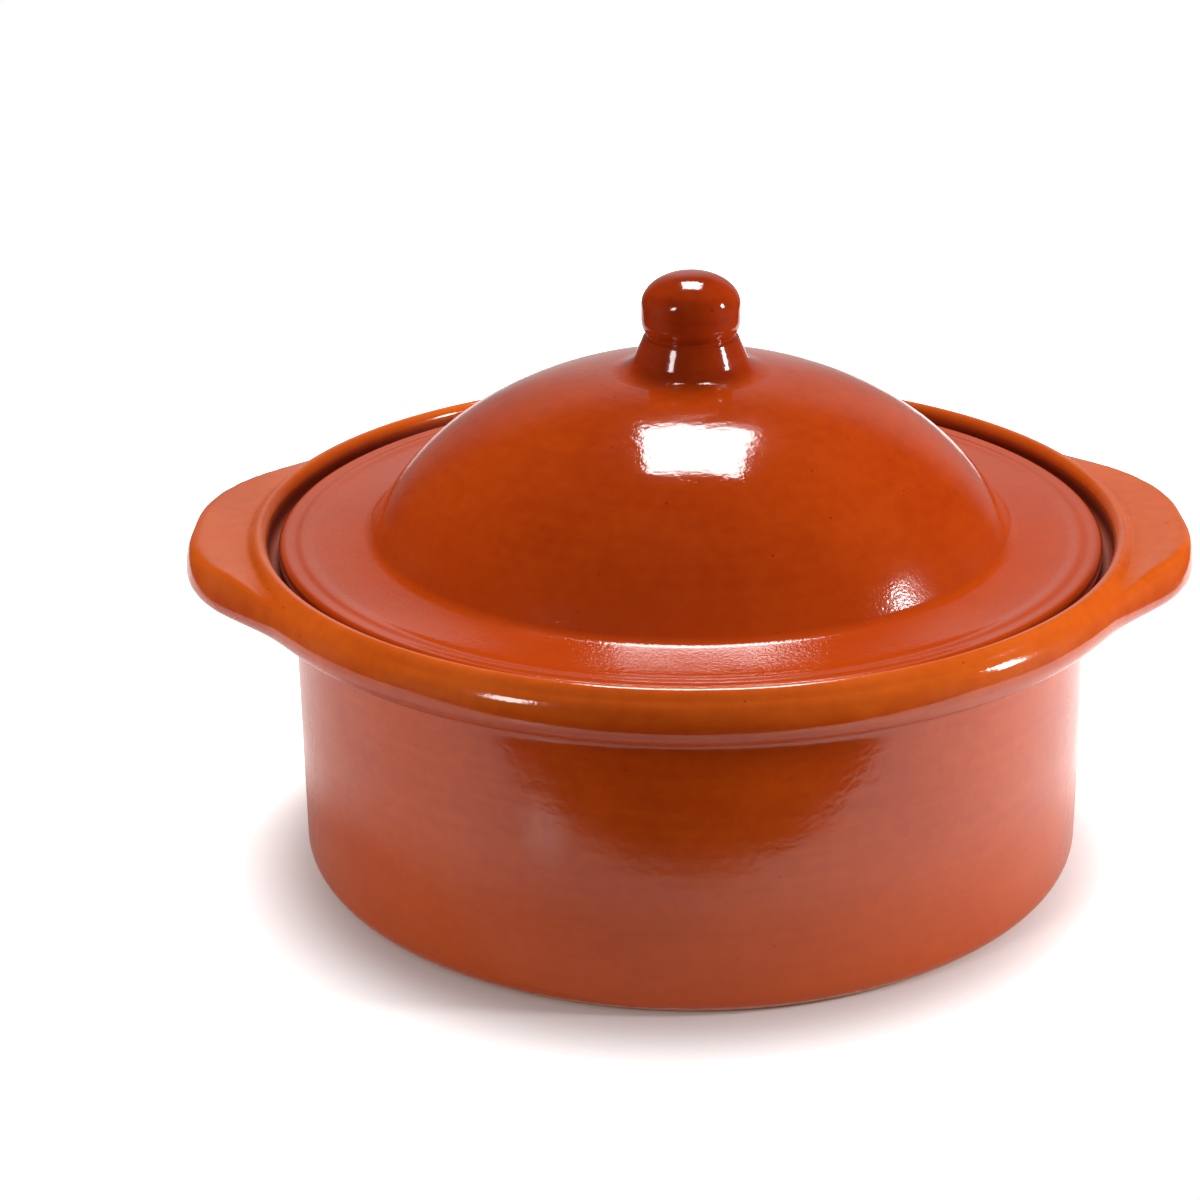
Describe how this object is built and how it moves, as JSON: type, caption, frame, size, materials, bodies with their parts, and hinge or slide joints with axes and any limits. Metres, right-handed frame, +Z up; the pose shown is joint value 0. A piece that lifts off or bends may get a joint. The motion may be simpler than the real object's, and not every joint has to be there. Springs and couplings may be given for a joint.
{
  "type": "casserole with lid",
  "caption": "Round glazed earthenware casserole with flat ear handles, a rolled rim with a lid ledge inside it, and a domed lift-off lid with a turned knob.",
  "frame": {"origin": "middle of the flat base, on the surface the pot stands on", "axes": "+Z up along the axis of the pot and lid, +X through the right ear"},
  "size_m": [0.2774, 0.249, 0.1639],
  "materials": {
    "pot_glaze": "gloss orange-brown lead-free glaze over red earthenware",
    "lid_glaze": "gloss orange-brown lead-free glaze over red earthenware",
    "knob_glaze": "thick, dark red-brown gloss glaze"
  },
  "bodies": {
    "pot": {"pot_body": "pot_glaze", "left_ear": "pot_glaze", "right_ear": "pot_glaze"},
    "lid": {"lid_shell": "lid_glaze", "lid_knob": "knob_glaze"}
  },
  "joints": [
    {"name": "lid_lift", "type": "slide", "parent": "pot", "child": "lid", "axis": [0, 0, 1], "range_m": [0, 0.15]}
  ]
}
